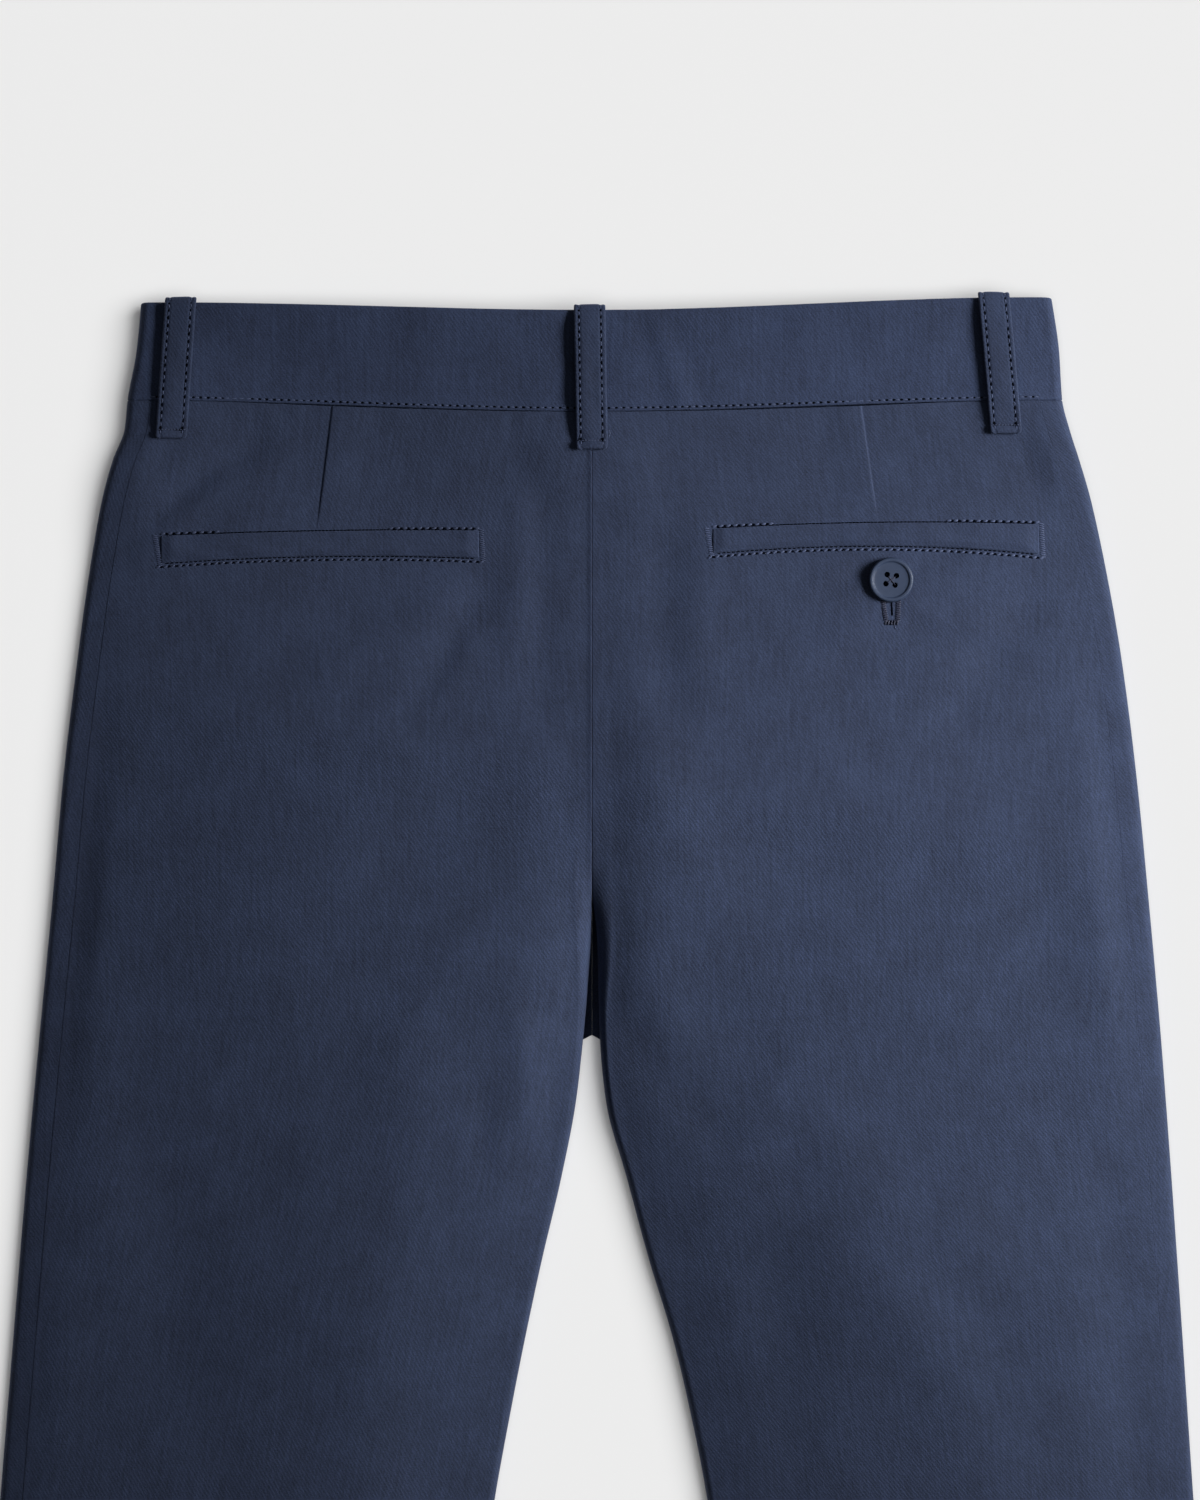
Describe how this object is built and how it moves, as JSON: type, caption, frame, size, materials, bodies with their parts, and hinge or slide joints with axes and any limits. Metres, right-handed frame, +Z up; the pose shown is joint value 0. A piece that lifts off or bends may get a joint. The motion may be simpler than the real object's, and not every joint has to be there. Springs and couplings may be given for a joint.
{
  "type": "chino trousers",
  "caption": "Child's flat-front chino trousers in plain twill, laid flat back side up, with a waistband, belt loops, back darts and welt pockets, to be worn or displayed.",
  "frame": {"origin": "on the surface that the trousers lie on, under the middle of their bounding box", "axes": "+Y towards the waist, with the legs running to -Y; +Z up, out of the back of the garment; +X to the wearer's right"},
  "size_m": [0.4878, 0.908, 0.0199],
  "materials": {
    "twill": "navy cotton twill, matt with a faint sheen",
    "twill_band": "navy cotton twill in several layers, top-stitched",
    "button_resin": "turned polyester resin, glossy"
  },
  "bodies": {
    "root": {"back_left": "twill", "back_right": "twill", "front_left": "twill", "front_right": "twill", "waistband_left": "twill_band", "waistband_right": "twill_band", "pocket_welt_left": "twill_band", "pocket_welt_right": "twill_band", "belt_loop_back_left": "twill_band", "belt_loop_back_center": "twill_band", "belt_loop_back_right": "twill_band", "belt_loop_front_left": "twill_band", "belt_loop_front_right": "twill_band", "back_pocket_button": "button_resin", "waist_button": "button_resin"}
  },
  "joints": []
}
